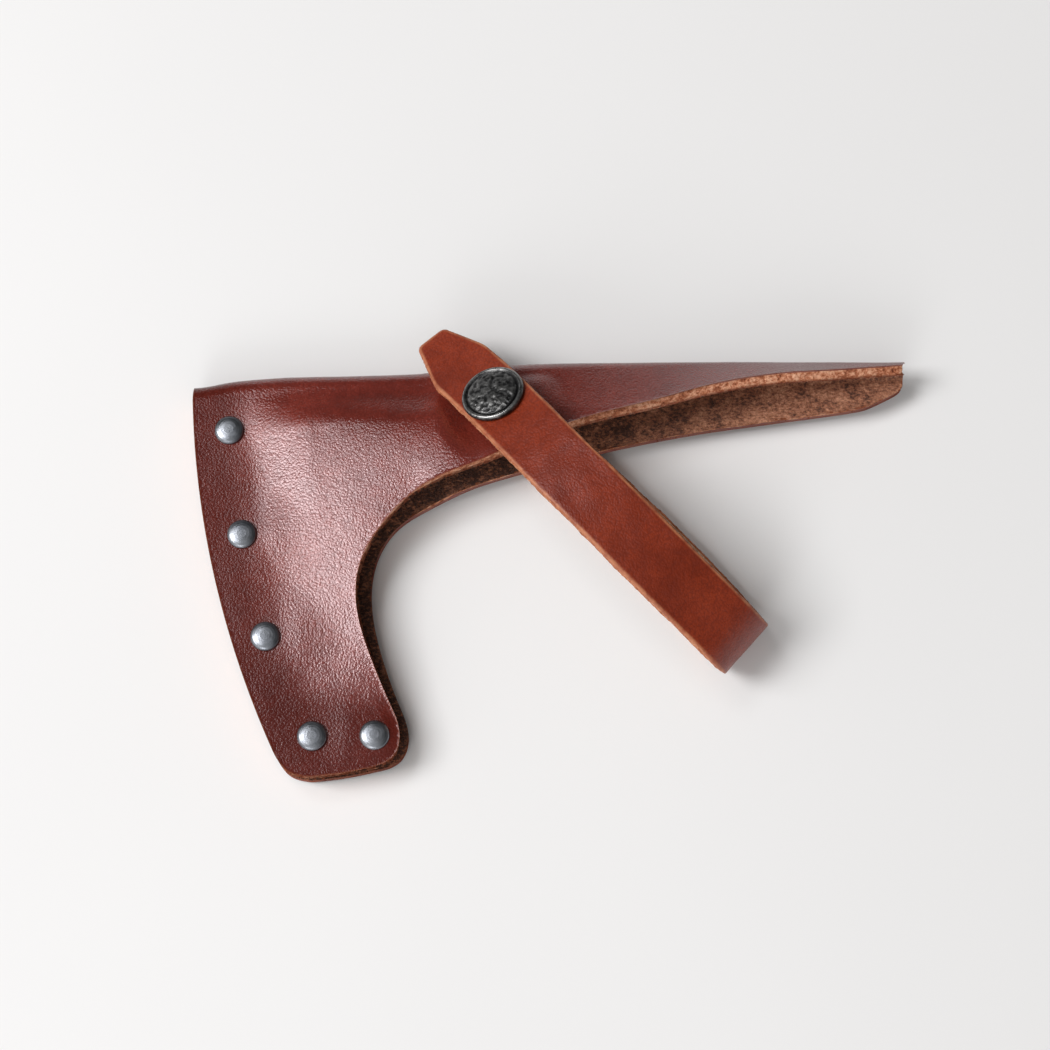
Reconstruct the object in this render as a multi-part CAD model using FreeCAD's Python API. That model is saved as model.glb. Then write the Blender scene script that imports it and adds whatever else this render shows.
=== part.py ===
"""Leather sheath for a hatchet head, closed by a strap with a snap fastener.

The sheath is one folded piece of leather.  It lies on its back panel: the fold runs along +Y's side,
the blade edge is at -X, the long tail is at +X, and the strap crosses it from the snap down to the
bend of its loop.  Units are millimetres.  The origin is under the middle of the whole object.
"""
import FreeCAD, Part
import os
from math import cos, exp, hypot, pi, radians, sin, sqrt

V = FreeCAD.Vector

# ---- driving dimensions --------------------------------------------------------------------------
LEATHER = 2.8                 # thickness of the body leather and of the welt
STRAP_THICK = 2.2
STRAP_WIDTH = 16.0

RIVET_CAP_D = 7.0
RIVET_CAP_H = 1.5             # also the height of the back panel over the ground at the blade
RIVET_TUBE_D = 3.0
RIVET_PIN_D = 2.1
RIVET_HOLE_D = 3.2
RIVETS = [(-76.6, 29.2), (-72.8, 3.4), (-66.6, -21.4), (-55.1, -45.1), (-40.6, -44.9)]
ANCHOR = (-6.6, 32.9)         # rivet that holds the strap's rear end under the back panel

SNAP_CAP_D = 15.2
SNAP_CAP_H = 2.4
SNAP_SOCKET_D = 12.4
SNAP_STUD_D = 5.9
SNAP_STACK = 4.8              # from the panel's grain side to the strap's flesh side
SNAP_HOLE_D = 4.0
SNAP_FLAT = 7.0               # the panel lies flat under the stud out to this radius
SNAP_EASE = 9.0               # and eases back to its own shape over this distance

WELT_WIDTH = 12.0             # band between the panels along the blade edge and the bottom
SLIP = 0.05                   # clearance between a pin and its tube
SEAT_GAP = 0.12               # clearance between a piece and the curved leather it is seated on
STRAP_PLAY = 0.1              # space over the strap's rear end under the back panel

# The folded section along the sheath, each as (x, value), eased between its rows.
FOLD_Y = [(-86, 41.1), (-74.6, 42.9), (-60.6, 43.8), (-40, 44.1), (-1.6, 46.1), (37, 46.7), (86, 46.7)]
BACK_Z = [(-33, RIVET_CAP_H + LEATHER / 2), (-17, RIVET_CAP_H + STRAP_THICK + STRAP_PLAY + LEATHER / 2)]
FOLD_R = [(-75, LEATHER), (-45, 3.2), (-5, 3.6), (86, 3.4)]
RISE_DEG = [(-75, 0), (-45, 10), (-18, 15), (9, 31), (24, 35.5), (49, 52), (60, 56), (86, 53)]
# Plan y that each panel's edge would have if the panel lay flat: how far it runs from the fold.
BACK_EDGE_Y = [(-22, 16.2), (-7, 20.3), (16, 26.4), (37, 30.6), (56, 33.4), (75, 36.2), (86, 38.8)]
FRONT_EDGE_Y = [(-22, 16.2), (-7, 20.3), (16, 26.4), (37, 31.3), (61, 35.3), (86, 40.5)]

# The pocket stands highest along a ridge beside the fold.
RIDGE_Y = [(-75, 38.0), (-50, 34.0), (-25, 28.0)]
RIDGE_RISE = [(-62, 2.6), (-30, 2.8)]    # how much the ridge adds to the pocket's height, along X
RIDGE_ABOVE = 12.0            # how wide it is towards the fold
RIDGE_BELOW = [(-62, 32.0), (-30, 16.0)]    # and towards the bottom, along X
RIDGE_START = 16.0            # distance over which it rises inside the riveted band
RIDGE_END = (-13.0, 20.0)     # x where it has died out before the snap, and over what distance
RIDGE_EASE = 11.0             # distance over which it rises from the fold's arc

# The flat outlines: blade edge as an arc, then the toe, then the mouth up to the neck.
BLADE_ARC = [(-85.4, 40.6), (-80.8, 2.8), (-63.4, -49.0)]
TOE_CORNER = [(-60.3, -52.8), (-55.6, -54.1)]
TOE_BOTTOM = (-48.0, -53.2)
BACK_MOUTH = [(-40.6, -51.7), (-35.2, -49.4), (-33.5, -44.9), (-35.7, -36.9), (-39.9, -25.4),
              (-42.5, -14.0), (-42.0, -3.0), (-37.2, 6.2), (-29.0, 12.0), (-17.0, 17.2), (0.0, 22.2)]
FRONT_MOUTH = [(-40.6, -51.7), (-36.7, -49.6), (-35.3, -45.0), (-37.6, -37.4), (-42.3, -26.0),
               (-45.4, -15.0), (-44.9, -4.8), (-39.8, 4.8), (-31.2, 13.2), (-18.0, 18.8), (0.0, 25.6)]
NECK_X = -1.0                 # right of this the edges follow their own tables
NECK_EASE = 32.0              # and left of it they run out past the blade outlines over this distance
TIP = (85.6, 46.4, 10.0)      # x of the tail's end, y where its rounded corner ends, and its radius

# The strap's middle line from the tab's tip over the snap and the hump, round the bend, and back
# along the ground to its end under the back panel.
STRAP_LINE = [(-28.2, 51.6, 11.6), (-20.4, 42.5, 16.6), (-12.6, 33.3, 22.2), (-5.1, 23.7, 28.0),
              (2.6, 14.4, 31.8), (10.8, 5.6, 33.0), (19.2, -3.0, 32.0), (27.9, -11.1, 28.8),
              (34.8, -16.9, 24.4), (41.9, -22.6, 18.8), (45.5, -24.0, 11.1), (44.7, -20.7, 4.0),
              (40.4, -14.8, 1.1), (32.7, -6.1, 1.1), (24.5, 2.6, 1.1), (14.6, 12.6, 1.1),
              (5.2, 21.8, 1.1), (-1.6, 28.2, 2.55), ANCHOR + (2.65,), (-10.8, 37.0, 2.65)]
SNAP_AT = 2                   # index of the snap in STRAP_LINE
TAB_END_AT = 4
BEND_START_AT = 9
BEND_OUTER_AT = 10
BEND_END_AT = 12
STRAP_TURN = [(0, 40), (90, 50), (125, 48), (150, 43)]   # heading of the strap's width, by length
TAB_CLIP = (12.0, 4.0)        # length of the clipped corners and half width of the blunt tip
PIECE_GAP = 0.3               # between strap pieces that belong to different moving bodies


# ---- small helpers -------------------------------------------------------------------------------
def eased(rows, x):
    """Value at x of a table of (x, value) rows, with smooth slopes that never overshoot."""
    if x <= rows[0][0]:
        return rows[0][1]
    if x >= rows[-1][0]:
        return rows[-1][1]
    slopes = [0.0]
    for before, here, after in zip(rows, rows[1:], rows[2:]):
        left = (here[1] - before[1]) / (here[0] - before[0])
        right = (after[1] - here[1]) / (after[0] - here[0])
        slopes.append(2 * left * right / (left + right) if left * right > 0 else 0.0)
    slopes.append(0.0)
    i = max(j for j in range(len(rows) - 1) if rows[j][0] <= x)
    width = rows[i + 1][0] - rows[i][0]
    t = (x - rows[i][0]) / width
    value = rows[i][1] * (1 + 2 * t) * (1 - t) ** 2 + rows[i + 1][1] * t * t * (3 - 2 * t)
    return value + width * (slopes[i] * t * (1 - t) ** 2 + slopes[i + 1] * t * t * (t - 1))


def smooth(t):
    """Smooth step from 0 at t = 0 to 1 at t = 1."""
    t = max(0.0, min(1.0, t))
    return t * t * (3 - 2 * t)


def lift(t, ease=1.0):
    """Soft start and slow finish from 0 at t = 0 to 1 at t = 1: leather let go by its rivets."""
    t = max(0.0, min(1.0, t))
    start = 0.08
    u = (1 + start) * t * t / (t + start)
    return u * (1 + ease * (1 - u))


def circle_through(a, b, c):
    """Centre x, centre y and radius of the circle through three points in the plane."""
    p = 2 * (b[0] - a[0])
    q = 2 * (b[1] - a[1])
    r = 2 * (c[0] - b[0])
    s = 2 * (c[1] - b[1])
    ab = b[0] ** 2 + b[1] ** 2 - a[0] ** 2 - a[1] ** 2
    bc = c[0] ** 2 + c[1] ** 2 - b[0] ** 2 - b[1] ** 2
    x = (ab * s - bc * q) / (p * s - r * q)
    y = (p * bc - r * ab) / (p * s - r * q)
    return x, y, hypot(a[0] - x, a[1] - y)


def biggest(shape):
    """The largest solid of a shape: what is left of a piece once its offcuts are gone."""
    return max(shape.Solids, key=lambda solid: solid.Volume)


def turned(profile):
    """Solid of revolution about Z from a closed profile of (radius, height) points."""
    points = [V(r, 0, z) for r, z in profile]
    face = Part.Face(Part.makePolygon(points + points[:1]))
    return face.revolve(V(0, 0, 0), V(0, 0, 1), 360)


def dome(radius, height, rim=0.35, steps=7):
    """Profile points of a domed cap from its rim up to its top at the axis."""
    points = [(radius, 0.0), (radius, rim)]
    for i in range(1, steps + 1):
        turn = 0.5 * pi * i / steps
        points.append((radius * cos(turn) ** 0.75, rim + (height - rim) * sin(turn)))
    points[-1] = (0.0, height)
    return points


def set_on(shape, base, axis):
    """Move a shape made along +Z so that its origin is at base and +Z points along axis."""
    moved = shape.copy()
    moved.Placement = FreeCAD.Placement(base, FreeCAD.Rotation(V(0, 0, 1), axis))
    return moved


def shared_parameters(rows):
    """One list of spline parameters that suits every row of points, from their mean spacing."""
    count = len(rows[0])
    steps = [sum(sqrt((row[i + 1] - row[i]).Length) for row in rows) for i in range(count - 1)]
    total = sum(steps)
    return [sum(steps[:i]) / total for i in range(count)]


def spline_poles(rows):
    """Poles of each row's spline, and the knots and multiplicities that all the rows share."""
    parameters = shared_parameters(rows)
    poles = []
    for row in rows:
        spline = Part.BSplineCurve()
        spline.interpolate(Points=row, Parameters=parameters)
        poles.append(spline.getPoles())
    return poles, spline.getKnots(), spline.getMultiplicities()


def skin_through(grid):
    """Smooth surface through a grid of points, with one set of knots each way."""
    poles, v_knots, v_mults = spline_poles(grid)
    columns, u_knots, u_mults = spline_poles([list(column) for column in zip(*poles)])
    poles = [list(row) for row in zip(*columns)]
    skin = Part.BSplineSurface()
    skin.buildFromPolesMultsKnots(poles, u_mults, v_mults, u_knots, v_knots, False, False, 3, 3)
    return skin


def spans(knots, cuts):
    """Pairs of neighbouring knots that a surface is divided at, from the grid rows to cut along."""
    marks = [knots[0]] + [knots[i] for i in cuts] + [knots[-1]]
    return list(zip(marks, marks[1:]))


def sheet(mid, normals, thickness, u_cuts=(), v_cuts=()):
    """Solid sheet of even thickness about a grid of middle points, its skins divided at the cuts."""
    skins = []
    faces = []
    for side in (0.5, -0.5):
        grid = []
        for row, lines in zip(mid, normals):
            grid.append([p + n * (side * thickness) for p, n in zip(row, lines)])
        skin = skin_through(grid)
        skins.append(skin)
        for u_span in spans(skin.getUKnots(), u_cuts):
            for v_span in spans(skin.getVKnots(), v_cuts):
                patch = skin.copy()
                patch.segment(*u_span, *v_span)
                faces.append(patch.toShape())
    u_spans = [spans(skin.getUKnots(), u_cuts) for skin in skins]
    v_spans = [spans(skin.getVKnots(), v_cuts) for skin in skins]
    for end in (0, -1):
        for part in zip(*v_spans):
            rims = [skin.uIso(skin.getUKnots()[end]).toShape(*span) for skin, span in zip(skins, part)]
            faces.append(Part.makeRuledSurface(*rims))
        for part in zip(*u_spans):
            rims = [skin.vIso(skin.getVKnots()[end]).toShape(*span) for skin, span in zip(skins, part)]
            faces.append(Part.makeRuledSurface(*rims))
    shell = Part.makeShell(faces)
    shell.sewShape()
    solid = Part.Solid(shell)
    if solid.Volume < 0:
        solid.reverse()
    return solid


def flat_face(edges):
    """Plane face inside a closed loop of edges at z = 0."""
    return Part.Face(Part.Wire(Part.__sortEdges__(edges)))


def curve(points):
    """Smooth edge through plan points."""
    spline = Part.BSplineCurve()
    spline.interpolate([V(x, y, 0) for x, y in points])
    return spline.toShape()


def line(a, b):
    """Straight edge between two plan points."""
    return Part.LineSegment(V(*a, 0), V(*b, 0)).toShape()


def prism(face, low, high):
    """Upright prism over a plane face between two heights."""
    base = face.copy()
    base.translate(V(0, 0, low))
    return base.extrude(V(0, 0, high - low))


# ---- the strap's line ----------------------------------------------------------------------------
class Strap:
    """The strap's middle line with its width and grain directions at any length along it."""

    def __init__(self):
        points = [V(*p) for p in STRAP_LINE]
        spline = Part.BSplineCurve()
        spline.interpolate(points)
        self.edge = spline.toShape()
        self.spline = spline
        first = spline.FirstParameter
        self.at = [0.0]
        for p in points[1:]:
            self.at.append(spline.length(first, spline.parameter(p)))

    def frame(self, length):
        """Middle point, width direction and grain-side normal at a length along the strap."""
        parameter = self.edge.getParameterByLength(max(0.0, min(length, self.edge.Length)))
        point = self.edge.valueAt(parameter)
        along = self.edge.tangentAt(parameter)
        if point.z < STRAP_THICK / 2 + SLIP:
            point.z = STRAP_THICK / 2
            along.z = 0.0
        heading = radians(eased(STRAP_TURN, length))
        width = V(cos(heading), sin(heading), 0)
        normal = along.cross(width)
        normal.normalize()
        return point, width, normal

    def piece(self, start, end, half_width=None):
        """Solid stretch of the strap between two lengths along it."""
        steps = max(5, round((end - start) / 4) + 1)
        mid = []
        normals = []
        for i in range(steps):
            length = start + (end - start) * i / (steps - 1)
            point, width, normal = self.frame(length)
            half = half_width(length) if half_width else STRAP_WIDTH / 2
            mid.append([point + width * (half * k / 2) for k in (-2, -1, 0, 1, 2)])
            normals.append([normal] * 5)
        return sheet(mid, normals, STRAP_THICK)


strap = Strap()
SNAP_S = strap.at[SNAP_AT]
snap_mid, snap_width, SNAP_AXIS = strap.frame(SNAP_S)
SNAP_BASE = snap_mid - SNAP_AXIS * (SNAP_STACK + STRAP_THICK / 2)


# ---- the folded leather --------------------------------------------------------------------------
blade_cx, blade_cy, blade_r = circle_through(*BLADE_ARC)
PANEL_GAP = 2 * LEATHER       # between the panels' middles where they are riveted over the welt
PAST_OUTLINE = 80.0           # how far the uncut panels run past the blade outlines
COLUMN_START = -88.0          # x of the first column of points across the folded leather
COLUMN_STEP = 4.5
COLUMNS = 40
PATCH_COLUMNS = (9, 17, 26)   # columns where its skins are divided into patches
BOTTOM_BAND_Y = -41.0         # top of the riveted band along the bottom
WELT_TOP_Y = 38.0             # end of the welt beside the fold
LET_GO = 50.0                 # distance over which the front panel rises from its riveted blade edge
LET_GO_UP = 72.0              # and from its riveted bottom
LET_GO_UP_EASE = 0.4          # how much that rise slows down at its end


def blade_x(y):
    """x of the blade edge at y."""
    return blade_cx - sqrt(blade_r ** 2 - (y - blade_cy) ** 2)


def section(x):
    """Fold radius, rise angle, back height and fold centre y of the section at x."""
    radius = eased(FOLD_R, x)
    return radius, radians(eased(RISE_DEG, x)), eased(BACK_Z, x), eased(FOLD_Y, x) - radius - LEATHER / 2


def ridge_height(x, y, reach):
    """How much the ridge adds to the height of the front panel at (x, y)."""
    past = y - eased(RIDGE_Y, x)
    fall = exp(-(past / (RIDGE_ABOVE if past > 0 else eased(RIDGE_BELOW, x))) ** 2)
    end_x, end_run = RIDGE_END
    sides = smooth((x - blade_x(y) - WELT_WIDTH) / RIDGE_START) * smooth((end_x - x) / end_run)
    rise = eased(RIDGE_RISE, x) * smooth(reach / RIDGE_EASE) * smooth((y - BOTTOM_BAND_Y) / RIDGE_START)
    return rise * fall * sides


def front_point(x, reach):
    """Middle point of the front panel at a distance reach from the end of the fold's arc."""
    radius, rise, back_z, centre_y = section(x)
    y = centre_y + radius * sin(rise) - reach * cos(rise)
    free = back_z + radius * (1 + cos(rise)) + reach * sin(rise)
    pinned = back_z + PANEL_GAP
    let_go = lift((x - blade_x(y) - WELT_WIDTH) / LET_GO)
    let_go *= lift((y - BOTTOM_BAND_Y) / LET_GO_UP, LET_GO_UP_EASE)
    open_share = 1 - (1 - let_go) * smooth(reach / WELT_WIDTH)
    z = pinned + (free - pinned) * open_share + ridge_height(x, y, reach)
    dx = x - SNAP_BASE.x
    dy = y - SNAP_BASE.y
    base_z = SNAP_BASE.z - SNAP_AXIS.z * LEATHER / 2
    plane = base_z - (SNAP_AXIS.x * (dx + SNAP_AXIS.x * LEATHER / 2)
                      + SNAP_AXIS.y * (dy + SNAP_AXIS.y * LEATHER / 2)) / SNAP_AXIS.z
    share = 1 - smooth((hypot(dx, dy) - SNAP_FLAT) / SNAP_EASE)
    return V(x, y, z + (plane - z) * share)


def front_normal(x, reach):
    """Outward unit normal of the front panel at front_point(x, reach)."""
    step = 0.1
    here = front_point(x, reach)
    normal = (front_point(x, reach + step) - here).cross(front_point(x + step, reach) - here)
    normal.normalize()
    return normal


def reach_at(x, edge_y):
    """How far a panel runs from the fold: to its edge on the tail, and past its outline on the blade."""
    radius, rise, back_z, centre_y = section(x)
    return centre_y - eased(edge_y, x) + PAST_OUTLINE * smooth((NECK_X - x) / NECK_EASE)


def folded_sheet():
    """The folded leather before its outline is cut."""
    columns = [COLUMN_START + COLUMN_STEP * i for i in range(COLUMNS)]
    shares = (0, 0.03, 0.08, 0.15, 0.23, 0.32, 0.41, 0.5, 0.59, 0.67, 0.73, 0.78, 0.83, 0.88, 0.94, 1)
    arc_steps = 6
    mid = []
    normals = []
    for x in columns:
        radius, rise, back_z, centre_y = section(x)
        reach = reach_at(x, BACK_EDGE_Y)
        row = [V(x, centre_y - reach * share, back_z) for share in reversed(shares)]
        out = [V(0, 0, -1) for share in shares]
        for i in range(1, arc_steps):
            turn = -pi / 2 + (pi - rise) * i / arc_steps
            out.append(V(0, cos(turn), sin(turn)))
            row.append(V(x, centre_y, back_z + radius) + out[-1] * radius)
        reach = reach_at(x, FRONT_EDGE_Y)
        row += [front_point(x, reach * share) for share in shares]
        out += [front_normal(x, reach * share) for share in shares]
        mid.append(row)
        normals.append(out)
    fold_rows = (len(shares) - 1, len(shares) + arc_steps - 1)
    return sheet(mid, normals, LEATHER, PATCH_COLUMNS, fold_rows)


def outline(mouth):
    """Plane face of one panel's outline; its fold side and tail side lie outside the leather."""
    tip_x, tip_y, tip_r = TIP
    top = 60.0
    tail = 12.0
    tail_start = mouth[-1][0] + 3
    middle = tip_r * (1 - sqrt(0.5))
    toe_left = BLADE_ARC[2]
    blade = Part.Arc(*[V(x, y, 0) for x, y in BLADE_ARC]).toShape()
    toe = curve([toe_left] + TOE_CORNER)
    bottom = curve([TOE_CORNER[-1], TOE_BOTTOM, mouth[0]])
    inner = curve(mouth)
    edges = [blade, toe, bottom, inner]
    edges.append(line(mouth[-1], (tail_start, tail)))
    edges.append(line((tail_start, tail), (tip_x - tip_r, tail)))
    edges.append(line((tip_x - tip_r, tail), (tip_x - tip_r, tip_y - tip_r)))
    edges.append(Part.Arc(V(tip_x - tip_r, tip_y - tip_r, 0),
                          V(tip_x - middle, tip_y - tip_r + middle, 0),
                          V(tip_x, tip_y, 0)).toShape())
    edges.append(line((tip_x, tip_y), (tip_x, top)))
    edges.append(line((tip_x, top), (BLADE_ARC[0][0], top)))
    edges.append(line((BLADE_ARC[0][0], top), BLADE_ARC[0]))
    return flat_face(edges)


def make_sheath_body():
    """Folded body: back panel, fold and front panel in one piece of leather, with its holes."""
    body = folded_sheet()
    ground = Part.makePlane(260, 200, V(-130, -100, 0))
    split_z = RIVET_CAP_H + 1.5 * LEATHER
    for mouth, low, high in ((BACK_MOUTH, -5, split_z), (FRONT_MOUTH, split_z, 60)):
        body = body.cut(prism(ground.cut(outline(mouth)), low, high))
    for x, y in RIVETS + [ANCHOR]:
        top = 40 if (x, y) in RIVETS else RIVET_CAP_H + STRAP_THICK + 1.5 * LEATHER
        body = body.cut(Part.makeCylinder(RIVET_HOLE_D / 2, top, V(x, y, 0)))
    hole = Part.makeCylinder(SNAP_HOLE_D / 2, 8, SNAP_BASE - SNAP_AXIS * 6, SNAP_AXIS)
    return biggest(body.cut(hole))


def make_edge_welt():
    """Leather strip between the panels, along the blade edge and the bottom."""
    low = RIVET_CAP_H + LEATHER + SEAT_GAP
    high = RIVET_CAP_H + 2 * LEATHER - SEAT_GAP
    both_panels = outline(BACK_MOUTH).common(outline(FRONT_MOUTH))
    inside_blade = Part.makeCylinder(blade_r - WELT_WIDTH, high - low, V(blade_cx, blade_cy, low))
    above_bottom = Part.makeBox(300, 300, 20, V(-150, BOTTOM_BAND_Y, 0))
    fold_side = Part.makeBox(300, 300, 20, V(-150, WELT_TOP_Y, 0))
    strip = prism(both_panels, low, high).cut(inside_blade.common(above_bottom)).cut(fold_side)
    for x, y in RIVETS:
        strip = strip.cut(Part.makeCylinder(RIVET_HOLE_D / 2, 40, V(x, y, 0)))
    return biggest(strip)


# ---- rivets --------------------------------------------------------------------------------------
def rivet_cap(seat):
    """Domed rivet cap with its tube, seated at height zero; the tube hangs down by seat."""
    bore = RIVET_PIN_D / 2 + SLIP
    tube = RIVET_TUBE_D / 2
    profile = [(0, -0.4), (bore, -0.4), (bore, -seat), (tube, -seat), (tube, 0)]
    return turned(profile + dome(RIVET_CAP_D / 2, RIVET_CAP_H))


def rivet_post(length):
    """Domed rear cap standing on the ground, with the pin that rises into the front cap's tube."""
    pin = RIVET_PIN_D / 2
    rim = [(r, RIVET_CAP_H - z) for r, z in reversed(dome(RIVET_CAP_D / 2, RIVET_CAP_H))]
    return turned(rim + [(pin, RIVET_CAP_H), (pin, length), (0, length)])


def make_rivet(x, y, grip):
    """Cap and post of one rivet through a stack of leather of thickness grip."""
    top = RIVET_CAP_H + grip
    up = V(0, 0, 1)
    cap = set_on(rivet_cap(grip * 0.6), V(x, y, top + SEAT_GAP), up)
    post = set_on(rivet_post(top - 0.5), V(x, y, 0), up)
    return cap, post


# ---- snap fastener -------------------------------------------------------------------------------
STUD_TOP = 3.7                # heights over the panel's grain side, along the snap's axis
SOCKET_LOW = 1.5
GROOVE_LOW = 1.8
ROOF_LOW = 4.3


def snap(profile):
    """Turned snap piece set on the panel along the snap's axis."""
    return set_on(turned(profile), SNAP_BASE, SNAP_AXIS)


def make_snap_stud():
    """Flange and knob on the front panel, with the hole that the post's barrel is set in."""
    knob = SNAP_STUD_D / 2
    hole = SNAP_HOLE_D / 2 - 0.35
    neck = knob - 0.45
    return snap([(hole, SEAT_GAP), (5.4, SEAT_GAP), (5.4, 0.7), (4.6, 1.0), (neck, 1.0), (neck, 2.2),
                 (knob, 2.8), (knob, 3.2), (knob - 0.6, STUD_TOP), (hole, STUD_TOP)])


def make_snap_post():
    """Eyelet from inside the sheath: its flange under the panel and its barrel up in the stud."""
    barrel = SNAP_HOLE_D / 2 - 0.4
    under = -LEATHER - SEAT_GAP
    bore = 0.9
    top = STUD_TOP - 0.3
    return snap([(bore, under - 0.8), (4.5, under - 0.5), (4.5, under), (barrel, under),
                 (barrel, top), (bore, top)])


def make_snap_socket():
    """Female ring under the strap, with a roof that the cap's barrel is rolled over."""
    outer = SNAP_SOCKET_D / 2
    bore = SNAP_STUD_D / 2 + 0.45
    groove = bore + 0.9
    groove_top = GROOVE_LOW + 0.8
    hole = 2.1
    top = SNAP_STACK - SLIP
    return snap([(bore, SOCKET_LOW), (outer - 1.2, SOCKET_LOW), (outer, SOCKET_LOW + 0.9), (outer, top),
                 (hole, top), (hole, ROOF_LOW), (bore, ROOF_LOW), (bore, groove_top), (groove, groove_top),
                 (groove, GROOVE_LOW), (bore, GROOVE_LOW)])


def make_snap_spring():
    """Wire ring in the socket's groove, round the stud's neck."""
    wire = 0.32
    ring = Part.makeTorus(SNAP_STUD_D / 2 - 0.15 + wire, wire)
    return set_on(ring, SNAP_BASE + SNAP_AXIS * (GROOVE_LOW + 0.4), SNAP_AXIS)


def make_snap_cap():
    """Domed cap with a raised rim on the strap's grain side, and its barrel through the strap."""
    radius = SNAP_CAP_D / 2
    crown = radius - 1.9
    crown_low = 1.2
    bore = 1.2
    barrel = 1.95
    flare = 2.8
    seat = SNAP_STACK + STRAP_THICK + SEAT_GAP
    low = ROOF_LOW - SLIP
    profile = [(bore, low - 0.3), (flare, low - 0.3), (flare, low), (barrel, low), (barrel, seat)]
    profile += [(radius - 0.5, seat), (radius, seat + 0.5), (radius, seat + 1.0), (radius - 0.5, seat + 1.5)]
    profile += [(radius - 1.3, seat + 1.6), (crown, seat + crown_low)]
    steps = 5
    for i in range(1, steps):
        turn = 0.5 * pi * i / steps
        profile.append((crown * cos(turn), seat + crown_low + (SNAP_CAP_H - crown_low) * sin(turn)))
    profile += [(0.0, seat + SNAP_CAP_H), (0.0, seat + 0.4), (bore, seat + 0.4)]
    return snap(profile)


# ---- strap pieces --------------------------------------------------------------------------------
def tab_half_width(length):
    """Half width of the tab, whose corners are clipped to a blunt tip."""
    run, tip = TAB_CLIP
    return tip + (STRAP_WIDTH / 2 - tip) * min(1.0, length / run)


def make_strap_pieces():
    """The strap's four stretches: tab, front, bend and rear."""
    tab_end = strap.at[TAB_END_AT]
    bend_start = strap.at[BEND_START_AT]
    bend_end = strap.at[BEND_END_AT]
    clip = TAB_CLIP[0]
    tip = strap.piece(0, clip, tab_half_width)
    tab = tip.fuse(strap.piece(clip, tab_end - PIECE_GAP / 2)).removeSplitter()
    hole = Part.makeCylinder(2.1, 12, SNAP_BASE, SNAP_AXIS)
    rear = strap.piece(bend_end, strap.edge.Length)
    anchor_hole = Part.makeCylinder(RIVET_HOLE_D / 2, 10, V(*ANCHOR, 0))
    return {
        "strap_tab": biggest(tab.cut(hole)),
        "strap_front": strap.piece(tab_end + PIECE_GAP / 2, bend_start - PIECE_GAP / 2),
        "strap_bend": strap.piece(bend_start + PIECE_GAP / 2, bend_end),
        "strap_rear": biggest(rear.cut(anchor_hole)),
    }


def make_parts():
    """Every named piece of the sheath."""
    parts = {"sheath_body": make_sheath_body(), "edge_welt": make_edge_welt()}
    for number, (x, y) in enumerate(RIVETS, start=1):
        cap, post = make_rivet(x, y, 3 * LEATHER)
        parts["rivet_%d_cap" % number] = cap
        parts["rivet_%d_post" % number] = post
    cap, post = make_rivet(*ANCHOR, LEATHER + STRAP_THICK + STRAP_PLAY)
    parts["anchor_rivet_cap"] = cap
    parts["anchor_rivet_post"] = post
    parts.update(make_strap_pieces())
    parts["snap_cap"] = make_snap_cap()
    parts["snap_socket"] = make_snap_socket()
    parts["snap_spring"] = make_snap_spring()
    parts["snap_stud"] = make_snap_stud()
    parts["snap_post"] = make_snap_post()
    return parts


os.makedirs("parts", exist_ok=True)
for name, shape in make_parts().items():
    shape.exportStep("parts/%s.step" % name)
    box = shape.BoundBox
    print("%-18s %-9s valid %s  volume %9.1f  x %6.1f..%6.1f  y %6.1f..%6.1f  z %5.1f..%5.1f" % (
        name, shape.ShapeType, shape.isValid(), shape.Volume,
        box.XMin, box.XMax, box.YMin, box.YMax, box.ZMin, box.ZMax))
print("snap axis", SNAP_AXIS, "base", SNAP_BASE)
for label, index in (("tab_peel", TAB_END_AT), ("strap_open", BEND_OUTER_AT)):
    middle, width, normal = strap.frame(strap.at[index])
    print(label, "middle", middle, "axis", width, "grain side", middle + normal * (STRAP_THICK / 2))
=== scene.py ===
import math

import bpy
import numpy as np
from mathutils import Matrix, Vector
from mathutils.geometry import delaunay_2d_cdt
from mathutils.kdtree import KDTree


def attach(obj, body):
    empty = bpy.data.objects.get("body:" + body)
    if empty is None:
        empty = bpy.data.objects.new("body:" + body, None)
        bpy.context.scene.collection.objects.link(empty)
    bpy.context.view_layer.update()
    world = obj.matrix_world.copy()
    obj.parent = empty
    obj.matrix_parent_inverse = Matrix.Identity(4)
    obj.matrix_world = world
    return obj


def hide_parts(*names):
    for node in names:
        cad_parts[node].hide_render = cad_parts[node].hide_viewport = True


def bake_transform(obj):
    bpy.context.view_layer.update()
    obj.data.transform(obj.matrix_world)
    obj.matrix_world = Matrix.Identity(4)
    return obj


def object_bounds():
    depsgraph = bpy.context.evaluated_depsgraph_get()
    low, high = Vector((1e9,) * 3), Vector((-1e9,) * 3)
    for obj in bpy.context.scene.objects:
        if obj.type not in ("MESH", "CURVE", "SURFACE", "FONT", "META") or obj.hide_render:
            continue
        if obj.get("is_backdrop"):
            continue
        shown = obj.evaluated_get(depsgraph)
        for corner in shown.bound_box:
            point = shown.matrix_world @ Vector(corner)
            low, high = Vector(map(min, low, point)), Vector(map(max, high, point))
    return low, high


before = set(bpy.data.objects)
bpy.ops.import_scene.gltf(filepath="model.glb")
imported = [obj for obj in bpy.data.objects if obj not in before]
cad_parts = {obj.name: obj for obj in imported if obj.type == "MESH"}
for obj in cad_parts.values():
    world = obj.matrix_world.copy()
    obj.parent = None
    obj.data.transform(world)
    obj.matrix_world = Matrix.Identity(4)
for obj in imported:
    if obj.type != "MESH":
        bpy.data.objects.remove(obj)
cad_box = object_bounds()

# A folded leather sheath with a strap.  The model's lengths are millimetres in the CAD's frame, and
# add_mesh turns them into metres.  Lights, floor and camera are in metres.
MM = 0.001

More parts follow.
